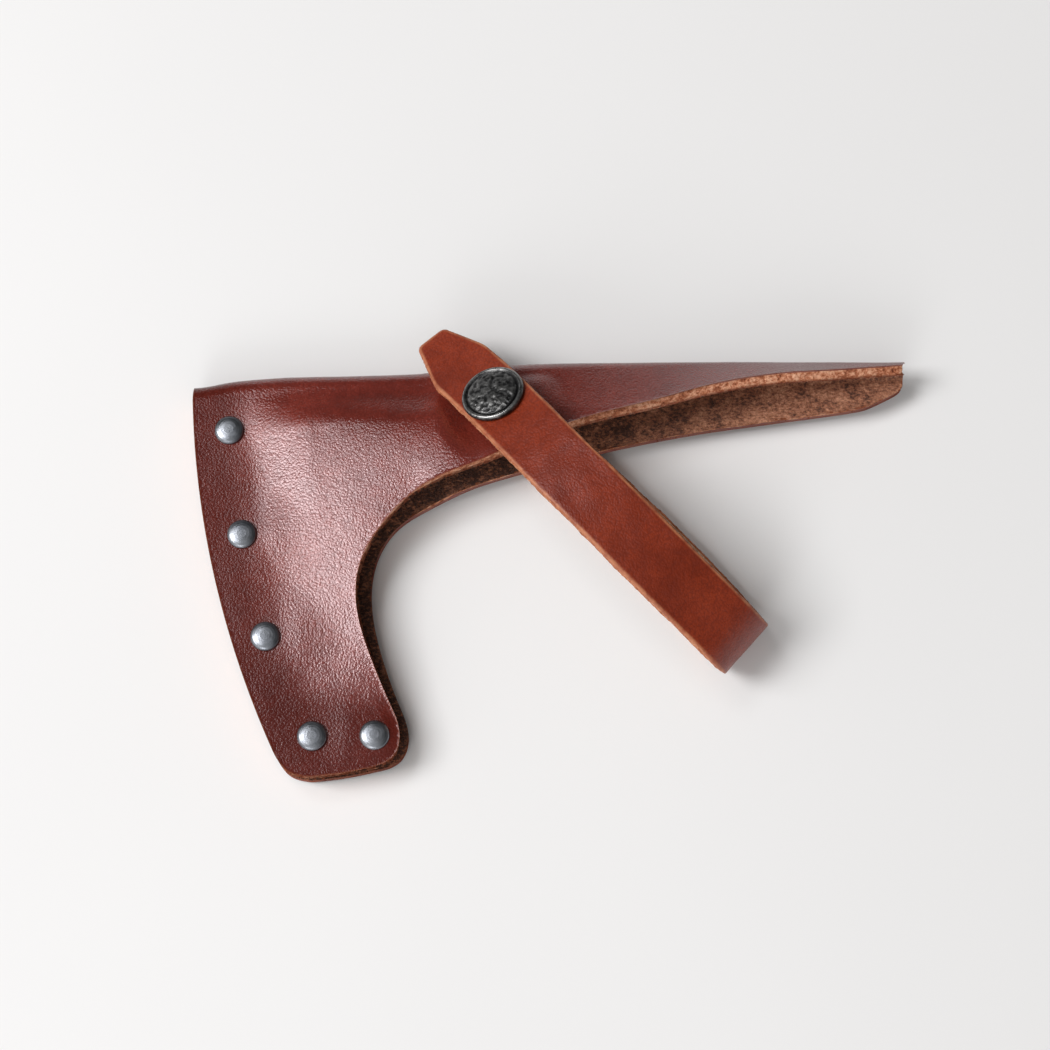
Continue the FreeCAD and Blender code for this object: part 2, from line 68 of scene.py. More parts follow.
# ---- driving dimensions, the same as the CAD's ------------------------------------------------------
LEATHER = 2.8
STRAP_THICK = 2.2
STRAP_WIDTH = 16.0
RIVET_CAP_H = 1.5
RIVETS = [(-76.6, 29.2), (-72.8, 3.4), (-66.6, -21.4), (-55.1, -45.1), (-40.6, -44.9)]
ANCHOR = (-6.6, 32.9)
SNAP_CAP_D = 15.2
SNAP_CAP_H = 2.4
SNAP_STACK = 4.8
SNAP_FLAT = 7.0
SNAP_EASE = 9.0
WELT_WIDTH = 12.0
WELT_TOP_Y = 38.0
SEAT_GAP = 0.12
STRAP_PLAY = 0.1

FOLD_Y = [(-86, 41.1), (-74.6, 42.9), (-60.6, 43.8), (-40, 44.1), (-1.6, 46.1), (37, 46.7), (86, 46.7)]
BACK_Z = [(-33, RIVET_CAP_H + LEATHER / 2), (-17, RIVET_CAP_H + STRAP_THICK + STRAP_PLAY + LEATHER / 2)]
FOLD_R = [(-75, LEATHER), (-45, 3.2), (-5, 3.6), (86, 3.4)]
RISE_DEG = [(-75, 0), (-45, 10), (-18, 15), (9, 31), (24, 35.5), (49, 52), (60, 56), (86, 53)]
BACK_EDGE_Y = [(-22, 16.2), (-7, 20.3), (16, 26.4), (37, 30.6), (56, 33.4), (75, 36.2), (86, 38.8)]
FRONT_EDGE_Y = [(-22, 16.2), (-7, 20.3), (16, 26.4), (37, 31.3), (61, 35.3), (86, 40.5)]
RIDGE_Y = [(-75, 38.0), (-50, 34.0), (-25, 28.0)]
RIDGE_RISE = [(-62, 2.6), (-30, 2.8)]
RIDGE_ABOVE = 12.0
RIDGE_BELOW = [(-62, 32.0), (-30, 16.0)]
RIDGE_START = 16.0
RIDGE_END = (-13.0, 20.0)
RIDGE_EASE = 11.0

BLADE_ARC = [(-85.4, 40.6), (-80.8, 2.8), (-63.4, -49.0)]
TOE_CORNER = [(-60.3, -52.8), (-55.6, -54.1)]
BACK_MOUTH = [(-40.6, -51.7), (-35.2, -49.4), (-33.5, -44.9), (-35.7, -36.9), (-39.9, -25.4),
              (-42.5, -14.0), (-42.0, -3.0), (-37.2, 6.2), (-29.0, 12.0), (-17.0, 17.2), (0.0, 22.2)]
FRONT_MOUTH = [(-40.6, -51.7), (-36.7, -49.6), (-35.3, -45.0), (-37.6, -37.4), (-42.3, -26.0),
               (-45.4, -15.0), (-44.9, -4.8), (-39.8, 4.8), (-31.2, 13.2), (-18.0, 18.8), (0.0, 25.6)]
TOE_BOTTOM = (-48.0, -53.2)
TIP_X = 85.6
TIP_ROUND = 10.0
PANEL_GAP = 2 * LEATHER
BOTTOM_BAND_Y = -41.0
LET_GO = 50.0                 # distances over which the front panel lifts away from the riveted band
LET_GO_UP = 72.0
LET_GO_UP_EASE = 0.4

STRAP_LINE = [(-28.2, 51.6, 11.6), (-20.4, 42.5, 16.6), (-12.6, 33.3, 22.2), (-5.1, 23.7, 28.0),
              (2.6, 14.4, 31.8), (10.8, 5.6, 33.0), (19.2, -3.0, 32.0), (27.9, -11.1, 28.8),
              (34.8, -16.9, 24.4), (41.9, -22.6, 18.8), (45.5, -24.0, 11.1), (44.7, -20.7, 4.0),
              (40.4, -14.8, 1.1), (32.7, -6.1, 1.1), (24.5, 2.6, 1.1), (14.6, 12.6, 1.1),
              (5.2, 21.8, 1.1), (-1.6, 28.2, 2.55), ANCHOR + (2.65,), (-10.8, 37.0, 2.65)]
SNAP_AT = 2
TAB_END_AT = 4
BEND_START_AT = 9
STRAP_TURN = [(0, 40), (90, 50), (125, 48), (150, 43)]
TAB_CLIP = (12.0, 4.0)

# ---- dimensions of the finished surfaces --------------------------------------------------------------
SNAP_TO_FOLD = 4.0            # run over which the seat of the snap eases into the fold
SKIN_STEP = 0.9               # distance between the points of a leather skin
ROW_STEP = 0.87               # distance between its rows, as a share of that
ARC_STEP = 0.5                # distance between the rows round the fold
EDGE_STEP = 0.6               # distance between the points along a cut edge
GRAIN_ROUND = 0.5             # rounding of a cut edge on the grain side
FLESH_ROUND = 0.25            # and on the flesh side
SHARP_ANGLE = 50              # faces that meet at more than this many degrees keep a sharp edge
NAP = 0.05                    # unevenness of the flesh side and of a raw cut
EDGE_WANDER = 0.10            # how far a cut edge strays from its line
EDGE_WANDER_RUN = 9.0         # and over what distance
FOLD_RUN = 8.0                # length given to the fold's arc in the flat pattern
WELT_PLAY = 0.04              # space between the welt and each panel
SEAM_BEFORE_BEND = 4.0        # where the strap's two pieces meet, before the bend starts
PEEL_RUN = 5.0                # length on each side of the tab's hinge at which points along the strap are found

SWELL = 0.5                   # height of the swell beside each rivet
SWELL_AWAY = 9.5              # its place along X and Y from the rivet
SWELL_UP = 1.5
SWELL_RUN = (5.0, 20.0)       # how far it falls off towards the rivet and away from it
SWELL_WIDTH = 6.5
SWELL_END = (16.0, 14.0)      # runs over which swells die out inside the riveted band, along X and Y
WAVES = ((0.05, 24, 5), (0.01, 8, 6))    # undulation of the panels: height, size and seed
CALM_RIM = 3.5                # the grain is even this near to a cut edge
CALM_STUD = (6.0, 4.0)        # and within this radius of the snap, then eases over this distance
CALM_FOLD = (3.0, 6.0)        # and from this far behind the fold, eased over this run
PRESSED_SHADE_FROM = 5.0            # how far the pressed margin, dulled and darkened with painted shade, reaches in from the blade edge
PRESSED_SHADE_RUN = 10.0            # and the run over which it fades

SNAP_RIM = 1.4                # width of the raised rim of the snap's cap
SNAP_RIM_H = 1.15             # height at which the crown starts inside it
DIMPLES = 150
DIMPLE_SIZE = (0.4, 1.0)
DIMPLE_DEPTH = 0.18
FIBRES = 320
FIBRE_THICK = 0.045
WINDOW_SIDE = (-0.55, -0.70, 0.45)    # direction of the brighter side of the room

dice = np.random.default_rng(20)


# ---- small helpers ------------------------------------------------------------------------------------
def eased(rows, x):
    """Values at x of a table of (x, value) rows, with smooth slopes that never overshoot."""
    knots, values = np.array(rows, float).T
    x = np.clip(np.asarray(x, float), knots[0], knots[-1])
    chord = np.diff(values) / np.diff(knots)
    slopes = np.zeros(len(knots))
    left, right = chord[:-1], chord[1:]
    turning = left * right > 0
    total = np.where(turning, left + right, 1.0)
    slopes[1:-1] = np.where(turning, 2 * left * right / total, 0.0)
    i = np.clip(np.searchsorted(knots, x, side="right") - 1, 0, len(knots) - 2)
    width = knots[i + 1] - knots[i]
    t = (x - knots[i]) / width
    value = values[i] * (1 + 2 * t) * (1 - t) ** 2 + values[i + 1] * t * t * (3 - 2 * t)
    return value + width * (slopes[i] * t * (1 - t) ** 2 + slopes[i + 1] * t * t * (t - 1))


def smooth(t):
    """Smooth step from 0 at t = 0 to 1 at t = 1."""
    t = np.clip(t, 0.0, 1.0)
    return t * t * (3 - 2 * t)


def lift(t, ease=1.0):
    """Soft start and slow finish from 0 at t = 0 to 1 at t = 1: leather let go by its rivets."""
    t = np.clip(t, 0.0, 1.0)
    start = 0.08
    u = (1 + start) * t * t / (t + start)
    return u * (1 + ease * (1 - u))


def hill(distance, width):
    """Smooth hill of height 1 at distance 0."""
    return np.exp(-(distance / width) ** 2)


def ripple(u, v, size, seed, waves=9):
    """Smooth irregular undulation between about -1 and 1, with features of about the given size."""
    draw = np.random.default_rng(seed)
    total = 0.0
    for k in range(waves):
        heading = draw.uniform(0, 2 * math.pi)
        pitch = 2 * math.pi / (size * draw.uniform(0.7, 1.8))
        across = u * math.cos(heading) + v * math.sin(heading)
        total = total + np.sin(pitch * across + draw.uniform(0, 6.3))
    return total / math.sqrt(waves)


def unit(vectors):
    """Vectors scaled to length 1."""
    return vectors / np.linalg.norm(vectors, axis=-1, keepdims=True)


def spline_through(points, per_span=24):
    """Points on the smooth curve through the given points, and the index of each given one."""
    points = np.array(points, float)
    knots = np.concatenate([[0], np.cumsum(np.linalg.norm(np.diff(points, axis=0), axis=1))])
    gaps = np.diff(knots)
    count = len(points)
    system = np.eye(count)
    right = np.zeros(points.shape)
    for i in range(1, count - 1):
        system[i, i - 1:i + 2] = gaps[i - 1], 2 * (gaps[i - 1] + gaps[i]), gaps[i]
        rise = (points[i + 1] - points[i]) / gaps[i] - (points[i] - points[i - 1]) / gaps[i - 1]
        right[i] = 6 * rise
    bend = np.linalg.solve(system, right)
    out = []
    for i in range(count - 1):
        t = np.linspace(0, 1, per_span, endpoint=False)[:, None]
        a, b, h = 1 - t, t, gaps[i]
        out.append(a * points[i] + b * points[i + 1]
                   + h * h / 6 * ((a ** 3 - a) * bend[i] + (b ** 3 - b) * bend[i + 1]))
    out.append(points[-1:])
    return np.vstack(out), [i * per_span for i in range(count)]


def respaced(outline, step):
    """Points at even distances of about step along a closed outline."""
    points = np.vstack([outline, outline[:1]])
    run = np.concatenate([[0], np.cumsum(np.linalg.norm(np.diff(points, axis=0), axis=1))])
    at = np.linspace(0, run[-1], int(round(run[-1] / step)), endpoint=False)
    return np.stack([np.interp(at, run, points[:, k]) for k in range(2)], axis=1)


def circle_through(a, b, c):
    """Centre x, centre y and radius of the circle through three points in the plane."""
    a, b, c = (np.array(p, float) for p in (a, b, c))
    system = 2 * np.array([b - a, c - b])
    x, y = np.linalg.solve(system, [b @ b - a @ a, c @ c - b @ b])
    return x, y, math.hypot(a[0] - x, a[1] - y)


def inside(polygon, points):
    """Which points lie inside a closed polygon."""
    result = np.zeros(len(points), bool)
    x, y = points[:, 0], points[:, 1]
    for (x0, y0), (x1, y1) in zip(polygon, np.roll(polygon, -1, axis=0)):
        if y0 != y1:
            crossing = ((y0 > y) != (y1 > y)) & (x < x0 + (x1 - x0) * (y - y0) / (y1 - y0))
            result ^= crossing
    return result


# ---- the strap's line ---------------------------------------------------------------------------------
class StrapLine:
    """The strap's middle line with its width and grain directions at any length along it."""

    def __init__(self):
        self.points, marks = spline_through(STRAP_LINE, 60)
        steps = np.linalg.norm(np.diff(self.points, axis=0), axis=1)
        self.run = np.concatenate([[0], np.cumsum(steps)])
        self.tangents = unit(np.gradient(self.points, self.run, axis=0))
        self.at = [self.run[i] for i in marks]
        self.length = self.run[-1]

    def frame(self, length):
        """Middle points, width directions and grain-side normals at lengths along the strap."""
        length = np.asarray(length, float)
        point = np.stack([np.interp(length, self.run, self.points[:, k]) for k in range(3)], axis=-1)
        along = np.stack([np.interp(length, self.run, self.tangents[:, k]) for k in range(3)], axis=-1)
        lowest = STRAP_THICK / 2
        resting = smooth((lowest + 0.6 - point[..., 2]) / 0.5)
        along[..., 2] *= 1 - resting
        point[..., 2] = np.maximum(point[..., 2], lowest)
        heading = np.radians(eased(STRAP_TURN, length))
        width = np.stack([np.cos(heading), np.sin(heading), 0 * heading], axis=-1)
        return point, width, unit(np.cross(along, width))

    def place(self, pattern, height):
        """Points at (length, offset across) of the pattern, raised by height on the grain side."""
        point, width, normal = self.frame(pattern[:, 0])
        return point + width * pattern[:, 1:] + normal * height[:, None]


strap = StrapLine()
snap_mid, _, SNAP_AXIS = strap.frame(strap.at[SNAP_AT])
SNAP_BASE = snap_mid - SNAP_AXIS * (SNAP_STACK + STRAP_THICK / 2)


# ---- the folded leather -------------------------------------------------------------------------------
blade_cx, blade_cy, blade_r = circle_through(*BLADE_ARC)


def blade_x(y, inset=0.0):
    """x of the blade edge at y, or of a line that runs inset from it."""
    return blade_cx - np.sqrt((blade_r - inset) ** 2 - (y - blade_cy) ** 2)


def section(x):
    """Fold radius, rise angle, back height and fold centre y of the section at x."""
    radius = eased(FOLD_R, x)
    return radius, np.radians(eased(RISE_DEG, x)), eased(BACK_Z, x), eased(FOLD_Y, x) - radius - LEATHER / 2


def ridge_height(x, y, reach):
    """How much the ridge adds to the height of the front panel at (x, y)."""
    past = y - eased(RIDGE_Y, x)
    fall = hill(past, np.where(past > 0, RIDGE_ABOVE, eased(RIDGE_BELOW, x)))
    end_x, end_run = RIDGE_END
    sides = smooth((x - blade_x(y) - WELT_WIDTH) / RIDGE_START) * smooth((end_x - x) / end_run)
    rise = eased(RIDGE_RISE, x) * smooth(reach / RIDGE_EASE) * smooth((y - BOTTOM_BAND_Y) / RIDGE_START)
    return rise * fall * sides


def front_height(x, y, reach):
    """Height of the front panel's middle at (x, y), a distance reach from the end of the fold's arc."""
    radius, rise, back_z, _ = section(x)
    free = back_z + radius * (1 + np.cos(rise)) + reach * np.sin(rise)
    pinned = back_z + PANEL_GAP
    let_go = lift((x - blade_x(y) - WELT_WIDTH) / LET_GO)
    let_go = let_go * lift((y - BOTTOM_BAND_Y) / LET_GO_UP, LET_GO_UP_EASE)
    open_share = 1 - (1 - let_go) * smooth(reach / WELT_WIDTH)
    z = pinned + (free - pinned) * open_share + ridge_height(x, y, reach)
    dx = x - SNAP_BASE[0]
    dy = y - SNAP_BASE[1]
    base_z = SNAP_BASE[2] - SNAP_AXIS[2] * LEATHER / 2
    plane = base_z - (SNAP_AXIS[0] * (dx + SNAP_AXIS[0] * LEATHER / 2)
                      + SNAP_AXIS[1] * (dy + SNAP_AXIS[1] * LEATHER / 2)) / SNAP_AXIS[2]
    share = (1 - smooth((np.hypot(dx, dy) - SNAP_FLAT) / SNAP_EASE)) * smooth(reach / SNAP_TO_FOLD)
    return z + (plane - z) * share


def body_middle(pattern):
    """Middle points of the folded leather at (x, run): run is negative on the back panel, 0 to
    FOLD_RUN round the fold, and more on the front panel."""
    x, run = pattern[:, 0], pattern[:, 1]
    radius, rise, back_z, centre_y = section(x)
    turn = -math.pi / 2 + (math.pi - rise) * np.clip(run / FOLD_RUN, 0, 1)
    reach = np.maximum(run - FOLD_RUN, 0)
    front_y = centre_y + radius * np.sin(rise) - reach * np.cos(rise)
    arc_y = centre_y + radius * np.cos(turn)
    y = np.where(run < 0, centre_y + run, np.where(run > FOLD_RUN, front_y, arc_y))
    arc_z = back_z + radius * (1 + np.sin(turn))
    z = np.where(run > FOLD_RUN, front_height(x, y, reach), arc_z)
    return np.stack([x, y, z], axis=1)


def body_place(pattern, height):
    """Points of the folded leather raised by height on its grain side."""
    step = 0.05
    middle = body_middle(pattern)
    across = body_middle(pattern + [0, step]) - body_middle(pattern - [0, step])
    along = body_middle(pattern + [step, 0]) - body_middle(pattern - [step, 0])
    return middle + unit(np.cross(across, along)) * height[:, None]


def back_run(x, y):
    """Where the back panel's plan point (x, y) is in the pattern."""
    return y - section(x)[3]


def front_run(x, y):
    """Where the front panel's plan point (x, y) is in the pattern."""
    radius, rise, _, centre_y = section(x)
    return FOLD_RUN + (centre_y + radius * np.sin(rise) - y) / np.cos(rise)


def blade_line(top_y):
    """Plan points down the blade edge from top_y, round the toe and along the bottom."""
    y = np.linspace(top_y, BLADE_ARC[2][1], 160)
    blade = np.stack([blade_x(y), y], axis=1)
    toe = spline_through([BLADE_ARC[2]] + TOE_CORNER)[0]
    bottom = spline_through([TOE_CORNER[-1], TOE_BOTTOM, BACK_MOUTH[0]])[0]
    return np.vstack([blade, toe[1:], bottom[1:]])


def tail_runs(edge_y):
    """x and reach of a panel's edge along the tail, rounded off towards the tail's end."""
    turn = np.radians(np.linspace(0, 90, 40))
    straight = np.linspace(1.0, TIP_X - TIP_ROUND, 120)[:-1]
    x = np.concatenate([straight, TIP_X - TIP_ROUND + TIP_ROUND * np.sin(turn)])
    round_off = np.concatenate([np.ones(len(straight)), np.cos(turn)])
    return x, (section(x)[3] - eased(edge_y, x)) * round_off


def body_outline():
    """The folded leather's closed outline in its pattern, from the back toe round to the back mouth."""
    fold_y = eased(FOLD_Y, BLADE_ARC[0][0])
    start_y = fold_y - FOLD_R[0][1] - LEATHER / 2
    edge = blade_line(start_y)
    back = np.stack([edge[:, 0], back_run(*edge.T)], axis=1)[::-1]
    front = np.stack([edge[:, 0], front_run(*edge.T)], axis=1)
    chain = [back, front]
    for mouth, edge_y, start, run in ((FRONT_MOUTH, FRONT_EDGE_Y, FOLD_RUN, front_run),
                                      (BACK_MOUTH, BACK_EDGE_Y, 0.0, back_run)):
        plan = spline_through(mouth)[0]
        plan = plan[plan[:, 0] < -3][1:]
        x, reach = tail_runs(edge_y)
        away = 1 if mouth is FRONT_MOUTH else -1
        part = np.vstack([np.stack([plan[:, 0], run(*plan.T)], axis=1),
                          np.stack([x, start + away * reach], axis=1)])
        chain.append(part[::away])
    return np.vstack(chain)


# ---- leather sheets -----------------------------------------------------------------------------------
GRAIN, FLESH, CUT = 0, 1, 2   # material slots of every leather piece


def add_mesh(name, points, faces, materials, face_materials=None, attributes=None):
    """New smooth-shaded object from millimetre points."""
    mesh = bpy.data.meshes.new(name)
    mesh.from_pydata((np.asarray(points) * MM).tolist(), [], faces)
    for material in materials:
        mesh.materials.append(material)
    if face_materials is not None:
        mesh.polygons.foreach_set("material_index", np.asarray(face_materials, np.int32))
    for label, values in (attributes or {}).items():
        layer = mesh.attributes.new(label, "FLOAT", "POINT")
        layer.data.foreach_set("value", np.asarray(values, np.float32))
    mesh.shade_smooth()
    mesh.set_sharp_from_angle(angle=math.radians(SHARP_ANGLE))
    mesh.update()
    piece = bpy.data.objects.new(name, mesh)
    bpy.context.scene.collection.objects.link(piece)
    return piece


def outward(edge):
    """Unit outward directions at the points of a closed outline that runs anticlockwise."""
    along = np.roll(edge, -1, axis=0) - np.roll(edge, 1, axis=0)
    return unit(np.stack([along[:, 1], -along[:, 0]], axis=1))


def distances(edge, points):
    """How far each point is from the nearest point of an outline."""
    tree = KDTree(len(edge))
    for i, point in enumerate(edge):
        tree.insert((*point, 0), i)
    tree.balance()
    return np.array([tree.find((*point, 0))[2] for point in points])


def skin_faces(edge, rows, step):
    """Points and triangles that fill a closed outline, with rows of points at the given ys."""
    low, high = edge.min(axis=0), edge.max(axis=0)
    grid = []
    for k, y in enumerate(rows):
        x = np.arange(low[0] + 0.5 * step * (k % 2), high[0], step)
        grid.append(np.stack([x, np.full(len(x), y)], axis=1))
    grid = np.vstack(grid)
    grid = grid[inside(edge, grid)]
    points = np.vstack([edge, grid[distances(edge, grid) > 0.55 * EDGE_STEP]])
    count = len(edge)
    ring = [(i, (i + 1) % count) for i in range(count)]
    out = delaunay_2d_cdt([Vector(p) for p in points], ring, [], 1, 1e-6)
    origin = [ids[0] for ids in out[3]]
    triangles = [[origin[i] for i in face] for face in out[2]]
    return points, triangles


def squared(edge, away, seam):
    """Rounding left out along a seam across a strap, and which points are a real cut."""
    on_seam = np.abs(edge[:, 0] - seam) < 0.05
    side = np.abs(edge[:, 1]) > STRAP_WIDTH / 2 - 0.05
    corner = on_seam & side
    away = away.copy()
    away[on_seam] = 0
    away[corner, 1] = np.sign(edge[corner, 1]) * GRAIN_ROUND
    return away, ~on_seam | side


def leather_sheet(name, edge, rows, place, thickness, materials, relief=None, pressed_and_shade=None, seam=None,
                  step=SKIN_STEP):
    """Leather of even thickness cut to a closed outline of its flat pattern.

    edge runs anticlockwise; place(pattern, height) bends the pattern into shape; relief(pattern, rim)
    raises the grain side; pressed_and_shade(pattern) is 1 where the grain is pressed dull and darkened
    with painted shade; seam is the length at which the piece butts against its neighbour."""
    away = outward(edge) * GRAIN_ROUND
    cut = np.ones(len(edge), bool)
    if seam is not None:
        away, cut = squared(edge, away, seam)
    inner = edge - away
    points, triangles = skin_faces(inner, rows, step)
    rim = distances(inner[cut], points)
    count = len(edge)
    half = thickness / 2
    raised = relief(points, rim) if relief else np.zeros(len(points))
    dark = pressed_and_shade(points) if pressed_and_shade else np.zeros(len(points))
    fuzz = dice.normal(0, NAP, len(points))
    fuzz[:count] *= 0.3
    sheets = [place(points, half + raised), place(points, -half + fuzz)]
    layer = [np.ones(len(points)), -np.ones(len(points))]
    near = [rim, rim]
    pressed_and_shade_rows = [dark, dark]
    size = len(points)
    faces = triangles + [[i + size for i in reversed(tri)] for tri in triangles]
    kinds = [GRAIN] * len(triangles) + [FLESH] * len(triangles)

    profile = []
    for turn in np.radians((30, 60, 90)):
        profile.append((math.sin(turn), half - GRAIN_ROUND * (1 - math.cos(turn)), GRAIN))
    for share in (0.75, 0.5, 0.25, 0.0):
        low = -half + FLESH_ROUND
        profile.append((1.0, low + (half - GRAIN_ROUND - low) * share, CUT))
    profile.append((1 - 0.4 * FLESH_ROUND / GRAIN_ROUND, -half + 0.1 * FLESH_ROUND, CUT))
    ring = list(range(count))
    offset = 2 * size
    for k, (out, height, kind) in enumerate(profile):
        wander = dice.normal(0, NAP, count) if kind == CUT else np.zeros(count)
        wander += EDGE_WANDER * ripple(edge[:, 0], edge[:, 1], EDGE_WANDER_RUN, 41 + k // 3)
        nudge = away * (out + wander / GRAIN_ROUND * (out > 0.6))[:, None]
        fade = np.clip(1.0 - (half - height) / GRAIN_ROUND, 0, 1)
        sheets.append(place(inner + nudge, np.full(count, height) + raised[:count] * fade))
        layer.append(np.full(count, height / half))
        near.append(np.zeros(count))
        pressed_and_shade_rows.append(dark[:count])
        lower = list(range(offset, offset + count))
        for i in range(count):
            j = (i + 1) % count
            faces.append([ring[j], ring[i], lower[i], lower[j]])
            kinds.append(kind)
        ring = lower
        offset += count
    for i in range(count):
        j = (i + 1) % count
        faces.append([ring[j], ring[i], size + i, size + j])
        kinds.append(CUT)
    attributes = {"layer": np.concatenate(layer), "rim": np.concatenate(near),
                  "pressed_and_shade": np.concatenate(pressed_and_shade_rows)}
    return add_mesh(name, np.vstack(sheets), faces, materials, kinds, attributes)


# ---- shader helpers -----------------------------------------------------------------------------------
class Surface:
    """A material under construction: its node tree with its Principled shader."""

    def __init__(self, name, **sockets):
        self.material = bpy.data.materials.new(name)
        self.material.use_nodes = True
        self.tree = self.material.node_tree
        self.shader = self.tree.nodes["Principled BSDF"]
        for label, value in sockets.items():
            self.shader.inputs[label.replace("_", " ")].default_value = value
        self.coords = self.tree.nodes.new("ShaderNodeTexCoord").outputs["Object"]

    def node(self, kind, inputs=(), **settings):
        """New node with its settings and its inputs, each a value or another node's output."""
        made = self.tree.nodes.new("ShaderNode" + kind)
        for label, value in settings.items():
            setattr(made, label, value)
        for label, value in dict(inputs).items():
            if isinstance(value, bpy.types.NodeSocket):
                self.tree.links.new(value, made.inputs[label])
            else:
                made.inputs[label].default_value = value
        return made

    def noise(self, size, detail=2.0, roughness=0.5, stretch=None):
        """Noise between 0 and 1 with features of a size in millimetres."""
        coords = self.coords
        if stretch:
            coords = self.node("Mapping", {"Vector": coords, "Scale": stretch}).outputs["Vector"]
        inputs = {"Vector": coords, "Scale": 1 / (size * MM), "Detail": detail, "Roughness": roughness}
        return self.node("TexNoise", inputs).outputs["Fac"]

    def cells(self, size, coords):
        """Distance field of irregular cells of a size in millimetres."""
        return self.node("TexVoronoi", {"Vector": coords, "Scale": 1 / (size * MM)}).outputs["Distance"]

    def attribute(self, name):
        """A value kept at the mesh's points."""
        return self.node("Attribute", attribute_name=name).outputs["Fac"]

    def math(self, operation, a, b=0.0, clamp=False):
        """Arithmetic on sockets or numbers."""
        return self.node("Math", {0: a, 1: b}, operation=operation, use_clamp=clamp).outputs[0]

    def span(self, value, low, high, to_low=0.0, to_high=1.0):
        """A value moved from one range to another, held at its ends."""
        inputs = {"Value": value, "From Min": low, "From Max": high, "To Min": to_low, "To Max": to_high}
        return self.node("MapRange", inputs, clamp=True).outputs["Result"]

    def ramp(self, value, stops):
        """Colour from (position, linear colour) stops."""
        made = self.node("ValToRGB", {"Fac": value})
        elements = made.color_ramp.elements
        while len(elements) < len(stops):
            elements.new(0.5)
        for element, (position, colour) in zip(elements, stops):
            element.position = position
            element.color = (*colour, 1)
        return made.outputs["Color"]

    def mix(self, share, a, b):
        """Colour a mixed towards b."""
        made = self.node("Mix", data_type="RGBA")
        for index, value in ((0, share), (6, a), (7, b)):
            if isinstance(value, bpy.types.NodeSocket):
                self.tree.links.new(value, made.inputs[index])
            else:
                made.inputs[index].default_value = value if index == 0 else (*value, 1)
        return made.outputs[2]

    def bump(self, height, distance, strength=1.0, normal=None):
        """Normal tilted by a height field whose full range is a distance in millimetres."""
        inputs = {"Height": height, "Distance": distance * MM, "Strength": strength}
        if normal:
            inputs["Normal"] = normal
        return self.node("Bump", inputs).outputs["Normal"]

    def feed(self, **sockets):
        """Link outputs to the shader's sockets."""
        for label, value in sockets.items():
            self.tree.links.new(value, self.shader.inputs[label.replace("_", " ")])
        return self.material


def grain_leather(name, deep, middle, light, gloss, wax, pale_tone):
    """Smooth waxed leather: fine pebbled grain with painted shade in its creases, mottled dye, pressed
    places that are dull and darkened with painted shade, and rims lightened towards the paler tone as a
    painted highlight."""
    s = Surface(name, IOR=1.8, Specular_Tint=(1.0, 0.84, 0.87, 1))
    clouds = s.noise(22, 4, 0.6)
    mottle = s.noise(3.2, 3, 0.6)
    tone = s.math("ADD", s.math("MULTIPLY", clouds, 0.65), s.math("MULTIPLY", mottle, 0.35))
    colour = s.ramp(tone, [(0.32, deep), (0.52, middle), (0.72, light)])
    tangle = s.node("TexNoise", {"Vector": s.coords, "Scale": 1 / (0.9 * MM), "Detail": 1.0})
    scaled = s.node("VectorMath", {0: tangle.outputs["Color"], "Scale": 0.3 * MM}, operation="SCALE")
    moved = s.node("VectorMath", {0: s.coords, 1: scaled.outputs["Vector"]}, operation="ADD")
    bent = moved.outputs["Vector"]
    pebbles = s.cells(0.55, bent)
    pores = s.cells(0.30, bent)
    # painted shade: the creases between the grain's pebbles are darkened towards the deep colour
    crease_shade = s.span(pebbles, 0.35, 0.8)
    colour = s.mix(s.math("MULTIPLY", crease_shade, 0.6), colour, deep)
    # painted shade: the pressed band is darkened towards a deeper brown, and its gloss is lowered below
    pressed_and_shade = s.attribute("pressed_and_shade")
    shade = s.math("MULTIPLY", pressed_and_shade, 0.5)
    colour = s.mix(shade, colour, tuple(0.35 * part for part in deep))
    # painted highlight: the rounded rims are lightened towards the paler tone, in random patches
    margin = s.span(s.attribute("rim"), 0.0, 0.4, 1.0, 0.0)
    rim_highlight = s.math("MULTIPLY", margin, s.span(s.noise(2.5, 3), 0.35, 0.6, 0.35, 0.9))
    colour = s.mix(rim_highlight, colour, pale_tone)
    rough = s.math("ADD", s.span(clouds, 0.3, 0.7, gloss - 0.03, gloss + 0.04),
                   s.span(s.noise(0.7, 2), 0.3, 0.7, -0.03, 0.05))
    rough = s.math("ADD", rough, s.math("MULTIPLY", margin, 0.08))
    height = s.math("ADD", s.math("MULTIPLY", pebbles, -0.6), s.math("MULTIPLY", pores, -0.25))
    height = s.math("ADD", height, s.math("MULTIPLY", s.noise(0.25, 2), 0.08))
    normal = s.bump(s.noise(5, 2, 0.5), 0.04, normal=s.bump(height, 0.095))
    level = s.span(pressed_and_shade, 0.0, 1.0, wax, 0.4 * wax)
    return s.feed(Base_Color=colour, Roughness=rough, Normal=normal, Specular_IOR_Level=level)


def suede(name, dark, middle, light, inside_shade=0.0):
    """Napped flesh side: tangled fibres, patchy tone, no gloss; inside_shade darkens it away from the tail
    as painted shade.
    """
    s = Surface(name, Roughness=0.95, Sheen_Weight=0.15, Sheen_Roughness=0.6, Specular_IOR_Level=0.15)
    patches = s.noise(4.5, 4, 0.7)
    nap = s.noise(0.9, 5, 0.75, stretch=(1.0, 1.6, 1.0))
    tone = s.math("ADD", s.math("MULTIPLY", patches, 0.4), s.math("MULTIPLY", nap, 0.6))
    along = s.node("SeparateXYZ", {"Vector": s.coords}).outputs["X"]
    # painted shade: the flesh side is darkened away from the tail, towards the mouth
    tone = s.math("SUBTRACT", tone, s.span(along, -0.01, 0.06, inside_shade, 0.0))
    colour = s.ramp(tone, [(0.40, dark), (0.50, middle), (0.62, light)])
    height = s.math("ADD", s.noise(0.6, 4, 0.75), s.math("MULTIPLY", s.noise(1.8, 3, 0.6), 0.8))
    return s.feed(Base_Color=colour, Normal=s.bump(height, 1.3))


